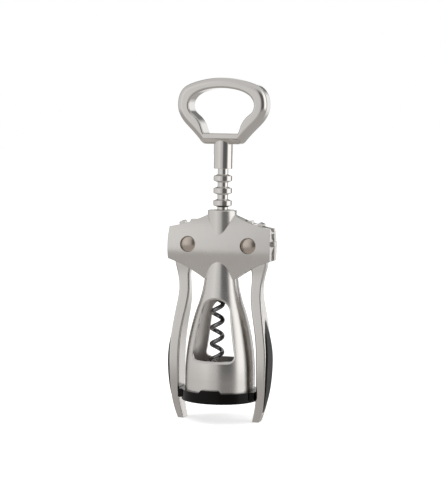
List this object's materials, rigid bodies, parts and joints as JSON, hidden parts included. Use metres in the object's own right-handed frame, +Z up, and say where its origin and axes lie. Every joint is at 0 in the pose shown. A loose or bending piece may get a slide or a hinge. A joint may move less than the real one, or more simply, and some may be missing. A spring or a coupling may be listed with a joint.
{
  "type": "wing corkscrew",
  "caption": "Wing corkscrew: a bell with cheeks carries two geared levers that lift a toothed shaft with an opener loop above and a worm below.",
  "frame": {"origin": "centre of the bottle seat at the underside of the guide ring", "axes": "+Z up along the worm's axis towards the opener loop; the front window faces -Y; the levers lie at -X and +X"},
  "size_m": [0.057, 0.0392, 0.1746],
  "materials": {
    "satin_chrome": "satin plated die casting",
    "polished_steel": "bright plated",
    "bush_brass": "nickel plated",
    "pin_nickel": "polished",
    "ring_plastic": "gloss",
    "grip_plastic": "soft satin",
    "dark_worm": "dark plated",
    "lock_steel": "plain"
  },
  "bodies": {
    "frame": {"frame_casting": "satin_chrome", "guide_ring": "ring_plastic", "pivot_pin_left": "pin_nickel", "pivot_pin_right": "pin_nickel"},
    "bush": {"collar_bush": "bush_brass"},
    "shaft": {"rack_shaft": "polished_steel", "handle_loop": "satin_chrome", "worm": "dark_worm", "worm_lock_pin": "lock_steel"},
    "wing_left": {"lever_left": "satin_chrome", "grip_left": "grip_plastic"},
    "wing_right": {"lever_right": "satin_chrome", "grip_right": "grip_plastic"}
  },
  "joints": [
    {"name": "handle_spin", "type": "hinge", "parent": "frame", "child": "bush", "pos_m": [0, 0, 0.0935], "axis": [0, 0, 1], "continuous": true},
    {"name": "shaft_slide", "type": "slide", "parent": "bush", "child": "shaft", "axis": [0, 0, -1], "range_m": [0, 0.03141]},
    {"name": "lever_left_hinge", "type": "hinge", "parent": "frame", "child": "wing_left", "pos_m": [-0.01586, 0, 0.0795], "axis": [0, 1, 0], "range_deg": [0, 150]},
    {"name": "lever_right_hinge", "type": "hinge", "parent": "frame", "child": "wing_right", "pos_m": [0.01586, 0, 0.0795], "axis": [0, -1, 0], "range_deg": [0, 150]}
  ],
  "couplings": [
    {"joint": "lever_left_hinge", "follows": "shaft_slide", "rad_per_m": 83.333},
    {"joint": "lever_right_hinge", "follows": "shaft_slide", "rad_per_m": 83.333}
  ]
}
